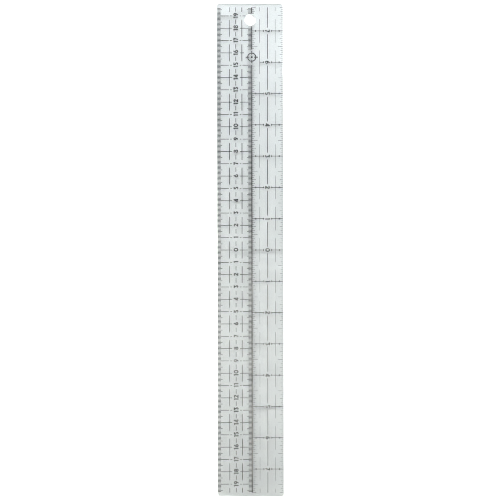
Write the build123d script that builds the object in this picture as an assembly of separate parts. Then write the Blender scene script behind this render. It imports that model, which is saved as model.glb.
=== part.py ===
from build123d import *
import math
import os

# Centring ruler: one clear acrylic blade with both of its scales printed on the top face.
# It lies flat: length along Y, width along X, thickness along Z, back face at z = 0.
# Both scales count outwards from a zero at y = 0: centimetres by the left edge (-X) and
# inches by the right edge (+X). A divider line runs between the two strips.
# All sizes are in mm. The names ending in ROW are shares of the metric strip's width.

# ---- blade ----
LENGTH = 400.0
METRIC_STRIP = 28.2
INCH_STRIP = 25.4
THICKNESS = 3.0
CORNER_RADIUS = 2.5
EDGE_BREAK = 0.25
HOLE_DIAMETER = 9.0
HOLE_TO_END = 13.3
HOLE_TO_DIVIDER = 1.0

# ---- print ----
INK = 0.05
OUTER_DASH_ROW = 0.355
METRIC_NUMERAL_ROW = 0.54
INNER_DASH_ROW = 0.716
CM = 10.0
INCH = 25.4
END_MARGIN = 3.1
TICK_WIDTH = 0.45
LINE_WIDTH = 0.52
FINE_WIDTH = 0.25
DIVIDER_WIDTH = 0.95
MM_TICK_LENGTHS = (2.95, 4.2)
INNER_TICK_LENGTHS = (2.4, 3.5)
INCH_TICK_LENGTHS = (1.4, 2.05, 2.75, 4.15)
CM_DASH_LENGTH = 13.7
INNER_DASH_WIDTH = 0.62
CM_CROSSING_GAP = 1.0
CENTRE_DASH_LENGTH = 3.6
CENTRE_ROW_STEP = 0.25
CROSS_MARK_LENGTH = 1.35
CROSS_MARK_WIDTH = 0.75
INCH_DASH_GAP = 2.7

# ---- numerals ----
DIGIT_HEIGHT = 3.85
DIGIT_STROKE = 0.92
DIGIT_GAP = 0.45
NUMERAL_CLEARANCE = 1.3

# ---- blank patches in the print ----
HOLE_CLEARANCE = 0.7
MARK_TO_HOLE = 30.2
MARK_RADIUS = 5.0
MARK_STROKE = 0.85
MARK_CLEARANCE = 1.2

# ---- values that follow from the ones above ----
WIDTH = METRIC_STRIP + INCH_STRIP
LEFT = -WIDTH / 2
RIGHT = WIDTH / 2
PRINT_LEFT = LEFT + EDGE_BREAK
PRINT_RIGHT = RIGHT - EDGE_BREAK
DIVIDER_X = LEFT + METRIC_STRIP
DIVIDER_LEFT = DIVIDER_X - DIVIDER_WIDTH / 2
DIVIDER_RIGHT = DIVIDER_X + DIVIDER_WIDTH / 2
SCALE_END = LENGTH / 2 - END_MARGIN
HOLE_X = DIVIDER_X - HOLE_TO_DIVIDER
HOLE_Y = LENGTH / 2 - HOLE_TO_END
HOLE_BLANK = HOLE_DIAMETER / 2 + HOLE_CLEARANCE
MARK_Y = HOLE_Y - MARK_TO_HOLE
MARK_BLANK = MARK_RADIUS + MARK_CLEARANCE
CM_COUNT = int((SCALE_END - DIGIT_HEIGHT) / CM)
INCH_COUNT = int((SCALE_END - DIGIT_HEIGHT) / INCH)
SIXTEENTH_COUNT = int(SCALE_END * 16 / INCH)
OUTER_DASH_X = LEFT + OUTER_DASH_ROW * METRIC_STRIP
METRIC_NUMERAL_X = LEFT + METRIC_NUMERAL_ROW * METRIC_STRIP
INNER_DASH_X = LEFT + INNER_DASH_ROW * METRIC_STRIP
INCH_NUMERAL_X = RIGHT - INCH_STRIP / 2
NUMERAL_GAP = DIGIT_HEIGHT / 2 + NUMERAL_CLEARANCE


# ---- printed bars ----

def bar(x0, x1, y0, y1):
    """Printed rectangle between two corners, on the blade's top face."""
    place = Pos((x0 + x1) / 2, (y0 + y1) / 2, THICKNESS)
    return place * Box(abs(x1 - x0), abs(y1 - y0), INK, align=(Align.CENTER, Align.CENTER, Align.MIN))


def cross_bar(x0, x1, y, width):
    """Printed line across the blade at height y."""
    return bar(x0, x1, y - width / 2, y + width / 2)


def long_bar(x, y0, y1, width):
    """Printed line along the blade at side position x, cut off where the scale ends."""
    return bar(x - width / 2, x + width / 2, max(y0, -SCALE_END), min(y1, SCALE_END))


def in_hole_blank(y):
    return abs(y - HOLE_Y) < HOLE_BLANK


def in_mark_blank(y):
    return abs(y - MARK_Y) < MARK_BLANK


def hole_chord(y):
    """Half width of the blank circle round the hole at height y."""
    return math.sqrt(HOLE_BLANK ** 2 - (y - HOLE_Y) ** 2)


def metric_line_end(y):
    """Where a centimetre line stops on its way in: at the divider, the hole or the mark."""
    if in_hole_blank(y):
        return HOLE_X - hole_chord(y)
    if in_mark_blank(y):
        return DIVIDER_X - MARK_BLANK
    return DIVIDER_LEFT


def inch_line_start(y):
    """The same for an inch line, on its way out."""
    if in_hole_blank(y):
        return HOLE_X + hole_chord(y)
    if in_mark_blank(y):
        return RIGHT - INCH_STRIP * 6 / 8
    return DIVIDER_RIGHT


# ---- blade ----

def ruler_blade():
    """Clear plate with rounded corners, a hanging hole and lightly broken edges."""
    outline = RectangleRounded(WIDTH, LENGTH, CORNER_RADIUS)
    hole = Pos(HOLE_X, HOLE_Y) * Circle(HOLE_DIAMETER / 2)
    plate = extrude(outline - hole, amount=THICKNESS)
    rims = plate.faces().sort_by(Axis.Z)[0].edges() + plate.faces().sort_by(Axis.Z)[-1].edges()
    return chamfer(rims, EDGE_BREAK)


# ---- metric strip ----

def millimetre_edge_ticks():
    """One tick per millimetre along the left edge, longer at the fives."""
    ticks = []
    for mm in range(-int(SCALE_END), int(SCALE_END) + 1):
        if mm % 10 == 0:
            continue
        length = MM_TICK_LENGTHS[mm % 5 == 0]
        ticks.append(cross_bar(PRINT_LEFT, LEFT + length, mm, TICK_WIDTH))
    return ticks


def millimetre_inner_ticks():
    """The same ticks on the metric side of the divider, left out at the blank patches."""
    ticks = []
    for mm in range(-int(SCALE_END), int(SCALE_END) + 1):
        if mm % 10 == 0 or in_hole_blank(mm) or in_mark_blank(mm):
            continue
        length = INNER_TICK_LENGTHS[mm % 5 == 0]
        ticks.append(cross_bar(DIVIDER_LEFT - length, DIVIDER_LEFT, mm, TICK_WIDTH))
    return ticks


def dash_width(dash_x):
    """The inner row is drawn a little heavier than the outer one."""
    return INNER_DASH_WIDTH if dash_x == INNER_DASH_X else LINE_WIDTH


def broken_line(x0, x1, gap_x, y):
    """Centimetre line with a short gap where it would meet a dash row."""
    half = CM_CROSSING_GAP / 2
    return [cross_bar(x0, gap_x - half, y, LINE_WIDTH), cross_bar(gap_x + half, x1, y, LINE_WIDTH)]


def crossed_line(x0, x1, dash_x, y):
    """Centimetre line joined to the dash that crosses it."""
    dash = long_bar(dash_x, y - CM_DASH_LENGTH / 2, y + CM_DASH_LENGTH / 2, dash_width(dash_x))
    return [cross_bar(x0, x1, y, LINE_WIDTH) + dash]


def end_dash(dash_x, y):
    """Dash of a centimetre beyond the last printed one: only its inner end is on the scale."""
    side = math.copysign(1, y)
    inner = abs(y) - CM_DASH_LENGTH / 2
    half = dash_width(dash_x) / 2
    return [bar(dash_x - half, dash_x + half, side * inner, side * SCALE_END)]


def centimetre_grid():
    """Lines across the strip at every centimetre, crossed by two rows of dashes at the evens."""
    pieces = []
    for cm in range(-CM_COUNT, CM_COUNT + 1):
        y = cm * CM
        outer = (PRINT_LEFT, METRIC_NUMERAL_X - NUMERAL_GAP, OUTER_DASH_X, y)
        inner = (METRIC_NUMERAL_X + NUMERAL_GAP, metric_line_end(y), INNER_DASH_X, y)
        draw = crossed_line if cm % 2 == 0 else broken_line
        pieces += draw(*outer) + draw(*inner)
    if CM_COUNT % 2 == 1:
        for y in (-(CM_COUNT + 1) * CM, (CM_COUNT + 1) * CM):
            pieces += end_dash(OUTER_DASH_X, y) + end_dash(INNER_DASH_X, y)
    return pieces


def centimetre_centre_dashes():
    """Short dashes along the middle of the strip, one between each pair of numerals."""
    dashes = []
    for cm in range(-CM_COUNT - 1, CM_COUNT + 1):
        middle = (cm + 0.5) * CM + CENTRE_ROW_STEP
        y0, y1 = middle - CENTRE_DASH_LENGTH / 2, middle + CENTRE_DASH_LENGTH / 2
        if y1 > -SCALE_END and y0 < SCALE_END:
            dashes.append(long_bar(METRIC_NUMERAL_X, y0, y1, LINE_WIDTH))
    return dashes


# ---- divider ----

def divider_line():
    """Heavy line between the strips, open at the mark and at the hanging hole."""
    stops = [-SCALE_END, MARK_Y - MARK_BLANK, MARK_Y + MARK_BLANK]
    stops += [HOLE_Y - HOLE_BLANK, HOLE_Y + HOLE_BLANK, SCALE_END]
    return [long_bar(DIVIDER_X, y0, y1, DIVIDER_WIDTH) for y0, y1 in zip(stops[::2], stops[1::2])]


# ---- inch strip ----

def sixteenth_length(sixteenth):
    """Tick length: a sixteenth is the shortest, a half the longest."""
    for step, length in zip((8, 4, 2), reversed(INCH_TICK_LENGTHS)):
        if sixteenth % step == 0:
            return length
    return INCH_TICK_LENGTHS[0]


def sixteenth_edge_ticks():
    """Ticks along the right edge at every sixteenth of an inch, the whole inches left out."""
    ticks = []
    for sixteenth in range(-SIXTEENTH_COUNT, SIXTEENTH_COUNT + 1):
        if sixteenth % 16 == 0:
            continue
        y = sixteenth * INCH / 16
        ticks.append(cross_bar(RIGHT - sixteenth_length(sixteenth), PRINT_RIGHT, y, FINE_WIDTH))
    return ticks


def sixteenth_inner_ticks():
    """The same ticks on the inch side of the divider, left out at the blank patches."""
    ticks = []
    for sixteenth in range(-SIXTEENTH_COUNT, SIXTEENTH_COUNT + 1):
        y = sixteenth * INCH / 16
        if sixteenth % 16 == 0 or in_hole_blank(y) or in_mark_blank(y):
            continue
        length = sixteenth_length(sixteenth)
        ticks.append(cross_bar(DIVIDER_RIGHT, DIVIDER_RIGHT + length, y, FINE_WIDTH))
    return ticks


def inch_side(line_x0, line_x1, marks, dash_in, y):
    """Half of an inch line, joined to its short cross marks and its quarter-row dash."""
    side = cross_bar(line_x0, line_x1, y, LINE_WIDTH)
    side += long_bar(RIGHT - dash_in, y - INCH * 3 / 8, y + INCH * 3 / 8, FINE_WIDTH)
    for mark_in in marks:
        side += long_bar(RIGHT - mark_in, y - CROSS_MARK_LENGTH / 2, y + CROSS_MARK_LENGTH / 2, CROSS_MARK_WIDTH)
    return side


def quarter_row_stubs(dash_in):
    """Inner ends of the quarter-row dashes that belong to the inch beyond each end."""
    start = (INCH_COUNT + 1) * INCH - INCH * 3 / 8
    if start >= SCALE_END:
        return []
    x = RIGHT - dash_in
    return [long_bar(x, start, SCALE_END, FINE_WIDTH), long_bar(x, -SCALE_END, -start, FINE_WIDTH)]


def inch_grid():
    """Lines across the strip at every inch, with cross marks at the eighths of the width."""
    eighth = INCH_STRIP / 8
    half = CROSS_MARK_WIDTH / 2
    pieces = []
    for inch in range(-INCH_COUNT, INCH_COUNT + 1):
        y = inch * INCH
        outer_start = RIGHT - 3 * eighth - half
        pieces.append(inch_side(outer_start, PRINT_RIGHT, (eighth, 3 * eighth), 2 * eighth, y))
        inner_start = inch_line_start(y)
        marks = [mark for mark in (5 * eighth, 7 * eighth) if RIGHT - mark > inner_start]
        pieces.append(inch_side(inner_start, RIGHT - 5 * eighth + half, marks, 6 * eighth, y))
    return pieces + quarter_row_stubs(2 * eighth) + quarter_row_stubs(6 * eighth)


def inch_centre_dashes():
    """Heavy dashes along the middle of the inch strip, stopping short of the numerals."""
    dashes = []
    for inch in range(-INCH_COUNT - 1, INCH_COUNT + 1):
        y0, y1 = inch * INCH + INCH_DASH_GAP, (inch + 1) * INCH - INCH_DASH_GAP
        dashes.append(long_bar(INCH_NUMERAL_X, y0, y1, LINE_WIDTH))
    return dashes


# ---- digits, drawn upright about the origin with straight strokes and rings ----

TOP = DIGIT_HEIGHT / 2
BASE = -DIGIT_HEIGHT / 2
PEN = DIGIT_STROKE


def stroke(start, end):
    """Straight pen stroke with square ends."""
    (x0, y0), (x1, y1) = start, end
    angle = math.degrees(math.atan2(y1 - y0, x1 - x0))
    place = Pos((x0 + x1) / 2, (y0 + y1) / 2) * Rot(0, 0, angle)
    return place * Rectangle(math.dist(start, end), PEN)


def ring(x, y, width, height):
    """Closed oval one pen stroke wide."""
    inner = Ellipse(width / 2 - PEN, height / 2 - PEN)
    return Pos(x, y) * (Ellipse(width / 2, height / 2) - inner)


def flat_bar(x0, x1, y):
    return Pos((x0 + x1) / 2, y) * Rectangle(x1 - x0, PEN)


def open_bowl(width, cut_x):
    """Round lower bowl with its left side cut open above the tail."""
    height = 0.62 * DIGIT_HEIGHT
    bowl = ring(0, BASE + height / 2, width, height)
    notch = Rectangle(2 * width, height, align=(Align.MAX, Align.MIN))
    return bowl - Pos(cut_x, BASE + 0.34 * height) * notch


def digit_zero():
    return ring(0, 0, 0.77 * DIGIT_HEIGHT, DIGIT_HEIGHT)


def digit_one():
    stem_x = 0.03 * DIGIT_HEIGHT
    stem = Pos(stem_x, 0) * Rectangle(PEN, DIGIT_HEIGHT)
    return stem + stroke((-0.15 * DIGIT_HEIGHT, 0.28 * DIGIT_HEIGHT), (stem_x, 0.43 * DIGIT_HEIGHT))


def digit_two():
    radius = 0.315 * DIGIT_HEIGHT
    centre_y = TOP - radius
    lower = Pos(0, centre_y) * Rectangle(3 * radius, 2 * radius, align=(Align.CENTER, Align.MAX))
    arch = ring(0, centre_y, 2 * radius, 2 * radius) - lower
    elbow = Pos(radius - PEN / 2, centre_y) * Circle(PEN / 2)
    slope = stroke((radius - PEN / 2, centre_y), (-radius + PEN / 2, BASE + PEN / 2))
    return arch + elbow + slope + flat_bar(-radius, radius, BASE + PEN / 2)


def digit_three():
    half = 0.29 * DIGIT_HEIGHT
    cut_x = -0.06 * DIGIT_HEIGHT
    slope = stroke((half - PEN / 2, TOP - PEN / 2), (cut_x, 0.06 * DIGIT_HEIGHT))
    return flat_bar(-half, half, TOP - PEN / 2) + slope + open_bowl(0.61 * DIGIT_HEIGHT, cut_x)


def digit_four():
    bar_y = -0.24 * DIGIT_HEIGHT
    stem_x = 0.15 * DIGIT_HEIGHT
    stem = Pos(stem_x, 0) * Rectangle(PEN, DIGIT_HEIGHT)
    slope = stroke((stem_x, 0.46 * DIGIT_HEIGHT), (-0.24 * DIGIT_HEIGHT, bar_y))
    return stem + slope + flat_bar(-0.32 * DIGIT_HEIGHT, 0.32 * DIGIT_HEIGHT, bar_y)


def digit_five():
    left = -0.26 * DIGIT_HEIGHT
    roof = flat_bar(left, 0.25 * DIGIT_HEIGHT, TOP - PEN / 2)
    upright = Pos(left, TOP) * Rectangle(PEN, 0.52 * DIGIT_HEIGHT, align=(Align.MIN, Align.MAX))
    return roof + upright + open_bowl(0.58 * DIGIT_HEIGHT, left + PEN)


def digit_six():
    size = 0.66 * DIGIT_HEIGHT
    bowl = ring(0, BASE + size / 2, size, size)
    stem_end = (0.11 * DIGIT_HEIGHT, 0.5 * DIGIT_HEIGHT)
    return bowl + stroke((-0.22 * DIGIT_HEIGHT, -0.06 * DIGIT_HEIGHT), stem_end)


def digit_seven():
    half = 0.27 * DIGIT_HEIGHT
    slope = stroke((half - PEN / 2, TOP - PEN / 2), (-0.1 * DIGIT_HEIGHT, BASE - 0.1))
    return flat_bar(-half, half, TOP - PEN / 2) + slope


def digit_eight():
    low = ring(0, BASE + 0.3 * DIGIT_HEIGHT, 0.7 * DIGIT_HEIGHT, 0.6 * DIGIT_HEIGHT)
    high = ring(0, TOP - 0.28 * DIGIT_HEIGHT, 0.62 * DIGIT_HEIGHT, 0.56 * DIGIT_HEIGHT)
    return low + high


def digit_nine():
    return Rot(0, 0, 180) * digit_six()


def digit_faces():
    """The ten digits, each trimmed level with the top and base lines."""
    makers = (digit_zero, digit_one, digit_two, digit_three, digit_four,
              digit_five, digit_six, digit_seven, digit_eight, digit_nine)
    return [make() & Rectangle(2 * DIGIT_HEIGHT, DIGIT_HEIGHT) for make in makers]


def numeral(value, faces, x, y, turn):
    """A number centred on (x, y) and turned in the plane of the blade."""
    glyphs = []
    reach = 0
    for digit in str(value):
        box = faces[int(digit)].bounding_box()
        glyphs.append(extrude(Pos(reach - box.min.X, 0) * faces[int(digit)], amount=INK))
        reach += box.size.X + DIGIT_GAP
    place = Pos(x, y, THICKNESS) * Rot(0, 0, turn) * Pos(-(reach - DIGIT_GAP) / 2, 0)
    return [place * solid for glyph in glyphs for solid in glyph.solids()]


def numeral_row(count, pitch, x, y_step, turn):
    """Numbers counting outwards from zero in both directions."""
    faces = digit_faces()
    solids = []
    for step in range(-count, count + 1):
        solids += numeral(abs(step), faces, x, step * pitch + y_step, turn)
    return solids


def centimetre_numerals():
    return numeral_row(CM_COUNT, CM, METRIC_NUMERAL_X, CENTRE_ROW_STEP, 90)


def inch_numerals():
    return numeral_row(INCH_COUNT, INCH, INCH_NUMERAL_X, 0, -90)


# ---- generic mark ----

def centring_mark():
    """Plain centre-finder sign: a ring crossed by four short lines round a dot."""
    sign = Circle(0.74 * MARK_RADIUS) - Circle(0.74 * MARK_RADIUS - MARK_STROKE)
    for turn in range(0, 360, 90):
        sign += Rot(0, 0, turn) * Pos(0.7 * MARK_RADIUS, 0) * Rectangle(0.6 * MARK_RADIUS, MARK_STROKE)
    solids = extrude(sign, amount=INK).solids() + extrude(Circle(MARK_STROKE), amount=INK).solids()
    return [Pos(DIVIDER_X, MARK_Y, THICKNESS) * solid for solid in solids]


# ---- export ----

def save(name, solids):
    export_step(Compound(label=name, children=solids), f"parts/{name}.step")


os.makedirs("parts", exist_ok=True)
save("ruler_blade", [ruler_blade()])
save("millimetre_edge_ticks", millimetre_edge_ticks())
save("millimetre_inner_ticks", millimetre_inner_ticks())
save("centimetre_grid", centimetre_grid())
save("centimetre_centre_dashes", centimetre_centre_dashes())
save("centimetre_numerals", centimetre_numerals())
save("divider_line", divider_line())
save("sixteenth_edge_ticks", sixteenth_edge_ticks())
save("sixteenth_inner_ticks", sixteenth_inner_ticks())
save("inch_grid", inch_grid())
save("inch_centre_dashes", inch_centre_dashes())
save("inch_numerals", inch_numerals())
save("centring_mark", centring_mark())
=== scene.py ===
import bpy
import math
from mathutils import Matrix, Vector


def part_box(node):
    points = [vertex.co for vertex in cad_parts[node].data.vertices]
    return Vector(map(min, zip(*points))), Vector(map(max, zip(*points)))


# Clear centring ruler lying on a pale table, seen straight from above.
# All sizes are in metres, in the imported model's own frame. Angles are in degrees unless they say so.

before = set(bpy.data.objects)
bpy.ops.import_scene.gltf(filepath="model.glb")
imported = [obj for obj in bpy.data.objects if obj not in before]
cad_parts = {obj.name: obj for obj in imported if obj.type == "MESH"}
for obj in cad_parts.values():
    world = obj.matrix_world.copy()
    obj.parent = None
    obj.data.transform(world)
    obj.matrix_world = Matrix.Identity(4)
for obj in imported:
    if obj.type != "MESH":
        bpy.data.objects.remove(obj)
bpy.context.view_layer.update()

BLADE = "ruler_blade"

# ---- camera ----
VIEW_WIDTH = 0.4058        # width that the picture shows at the height of the blade's top face
LENS = 300.0               # long, so the walls of the hole and of the ends hardly show
SENSOR = 36.0
CAMERA_X = -0.0002
CAMERA_TURN = -0.0012      # the ruler leans by this much in the picture, in radians
PIXEL_SPREAD = 1.0         # width over which a pixel gathers light, in pixels: narrow keeps print crisp

# ---- table and light ----
FLOOR_SIZE = 6.0
FLOOR_Z = -0.0002          # a hair under the blade, so the two faces don't coincide
FLOOR_GREY = 0.9
SKY_STRENGTH = 0.45

# ---- roughness of the clear sheet ----
ROUGH_CLEAN = 0.035
ROUGH_SCRATCH = 0.12       # what a full scratch adds to it

# ---- colours ----
SKY_COLOUR = (1.0, 1.0, 0.985)
TINT_DEEP = (0.806, 0.821, 0.822)
TINT_PALE = (0.83, 0.841, 0.842)
INK_DARK = (0.012, 0.012, 0.013)
INK_WORN = (0.045, 0.044, 0.046)


# ---- node helpers ----

def new_material(name):
    material = bpy.data.materials.new(name)
    material.use_nodes = True
    shader = material.node_tree.nodes["Principled BSDF"]
    return material, material.node_tree, shader


def add(tree, kind, **values):
    """New node with its input defaults set by name; spaces in a name are written as underscores."""
    node = tree.nodes.new(kind)
    for key, value in values.items():
        node.inputs[key.replace("_", " ")].default_value = value
    return node


def object_coords(tree, scale):
    """Object coordinates in metres, stretched by a scale on each axis."""
    coords = tree.nodes.new("ShaderNodeTexCoord")
    mapping = add(tree, "ShaderNodeMapping", Scale=scale)
    tree.links.new(coords.outputs["Object"], mapping.inputs["Vector"])
    return mapping.outputs["Vector"]


def noise(tree, scale_xyz, detail=3.0, roughness=0.5):
    """Noise with so many waves per metre along each axis."""
    node = add(tree, "ShaderNodeTexNoise", Scale=1.0, Detail=detail, Roughness=roughness)
    tree.links.new(object_coords(tree, scale_xyz), node.inputs["Vector"])
    return node.outputs["Fac"]


def remap(tree, source, low, high, to_low, to_high):
    """Stretches low...high to to_low...to_high and clamps what lies outside."""
    node = add(tree, "ShaderNodeMapRange", From_Min=low, From_Max=high, To_Min=to_low, To_Max=to_high)
    tree.links.new(source, node.inputs["Value"])
    return node.outputs["Result"]


def math_node(tree, operation, first, second):
    """Arithmetic on two inputs, where each is a number or another node's output."""
    node = tree.nodes.new("ShaderNodeMath")
    node.operation = operation
    for socket, value in zip(node.inputs, (first, second)):
        if isinstance(value, float):
            socket.default_value = value
        else:
            tree.links.new(value, socket)
    return node.outputs["Value"]


def colour_mix(tree, factor, first, second):
    node = tree.nodes.new("ShaderNodeMix")
    node.data_type = "RGBA"
    node.inputs["A"].default_value = (*first, 1.0)
    node.inputs["B"].default_value = (*second, 1.0)
    tree.links.new(factor, node.inputs["Factor"])
    return node.outputs["Result"]


def bump(tree, shader, height, distance, strength):
    node = add(tree, "ShaderNodeBump", Strength=strength, Distance=distance)
    tree.links.new(height, node.inputs["Height"])
    tree.links.new(node.outputs["Normal"], shader.inputs["Normal"])


# ---- materials ----

def acrylic():
    """Clear sheet with a faint cool tint that varies slowly, and fine handling scratches in its surface.
    """
    material, tree, shader = new_material("clear_acrylic")
    shader.inputs["Transmission Weight"].default_value = 1.0
    shader.inputs["IOR"].default_value = 1.49
    cloud = noise(tree, (9.0, 9.0, 9.0))
    tint = colour_mix(tree, cloud, TINT_DEEP, TINT_PALE)
    tree.links.new(tint, shader.inputs["Base Color"])
    along = noise(tree, (2600.0, 22.0, 40.0), detail=2.0)
    slant = noise(tree, (260.0, 1900.0, 40.0), detail=2.0)
    scratch = math_node(tree, "MAXIMUM", remap(tree, along, 0.66, 0.74, 0.0, 1.0),
                        remap(tree, slant, 0.68, 0.76, 0.0, 1.0))
    rough = math_node(tree, "MULTIPLY_ADD", scratch, ROUGH_SCRATCH)
    rough.node.inputs[2].default_value = ROUGH_CLEAN
    tree.links.new(rough, shader.inputs["Roughness"])
    bump(tree, shader, scratch, 0.00001, 0.25)
    return material


def ink():
    """Black screen-printing ink: nearly even, with a slight grain and softly varying gloss."""
    material, tree, shader = new_material("black_ink")
    shader.inputs["IOR"].default_value = 1.45
    grain = noise(tree, (5200.0, 5200.0, 5200.0), detail=4.0, roughness=0.6)
    patch = noise(tree, (120.0, 120.0, 120.0), detail=2.0)
    shade = math_node(tree, "MULTIPLY", grain, patch)
    tone = colour_mix(tree, remap(tree, shade, 0.15, 0.4, 0.0, 1.0), INK_DARK, INK_WORN)
    tree.links.new(tone, shader.inputs["Base Color"])
    tree.links.new(remap(tree, patch, 0.3, 0.7, 0.38, 0.6), shader.inputs["Roughness"])
    bump(tree, shader, grain, 0.00002, 0.35)
    return material


def matte_floor():
    """Plain pale table, lit until it comes out white."""
    material, tree, shader = new_material("pale_table")
    shader.inputs["Base Color"].default_value = (FLOOR_GREY, FLOOR_GREY, FLOOR_GREY, 1.0)
    shader.inputs["Roughness"].default_value = 0.9
    return material


# ---- objects ----

def dress_nodes():
    """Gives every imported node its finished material."""
    clear = acrylic()
    black = ink()
    for name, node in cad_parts.items():
        node.data.materials.clear()
        node.data.materials.append(clear if name == BLADE else black)


def make_floor():
    """Large flat table just under the blade."""
    bpy.ops.mesh.primitive_plane_add(size=FLOOR_SIZE, location=(0.0, 0.0, FLOOR_Z))
    floor = bpy.context.object
    floor.name = "table_top"
    floor.data.materials.append(matte_floor())


# ---- light and camera ----

def area_light(name, place, size, power, colour, aim, spread=180.0):
    """Round soft lamp turned towards a point; a small spread keeps its light to a patch."""
    data = bpy.data.lights.new(name, "AREA")
    data.color = colour
    data.shape = "DISK"
    data.size = size
    data.energy = power
    data.spread = math.radians(spread)
    light = bpy.data.objects.new(name, data)
    light.location = place
    direction = [a - b for a, b in zip(aim, place)]
    flat = math.hypot(direction[0], direction[1])
    light.rotation_euler = (math.atan2(flat, -direction[2]), 0.0, math.atan2(-direction[0], direction[1]))
    bpy.context.scene.collection.objects.link(light)


def make_lights():
    """Even white surroundings, a key lamp beyond the hole end, and a gentle patch on each half."""
    world = bpy.data.worlds.new("studio")
    world.use_nodes = True
    sky = world.node_tree.nodes["Background"]
    sky.inputs["Color"].default_value = (*SKY_COLOUR, 1.0)
    sky.inputs["Strength"].default_value = SKY_STRENGTH
    bpy.context.scene.world = world
    area_light("key", (0.0, 0.7, 0.75), 0.6, 18.0, (0.94, 0.98, 1.0), (0.0, 0.15, 0.0))
    area_light("top_fill", (0.5, 0.16, 0.6), 0.12, 0.2, (0.97, 1.0, 1.0), (0.0, 0.16, 0.0), spread=17.0)
    area_light("low_fill", (-0.5, -0.1, 0.6), 0.12, 1.05, (1.0, 1.0, 0.92), (0.0, -0.1, 0.0), spread=30.0)


def make_camera():
    """Looks straight down at the middle of the blade."""
    data = bpy.data.cameras.new("camera")
    data.lens = LENS
    data.sensor_width = SENSOR
    camera = bpy.data.objects.new("camera", data)
    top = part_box(BLADE)[1][2]
    camera.location = (CAMERA_X, 0.0, top + VIEW_WIDTH * LENS / SENSOR)
    camera.rotation_euler = (0.0, 0.0, CAMERA_TURN)
    bpy.context.scene.collection.objects.link(camera)
    bpy.context.scene.camera = camera


dress_nodes()
make_floor()
make_lights()
make_camera()
bpy.context.scene.view_settings.view_transform = "Standard"
bpy.context.scene.cycles.filter_width = PIXEL_SPREAD
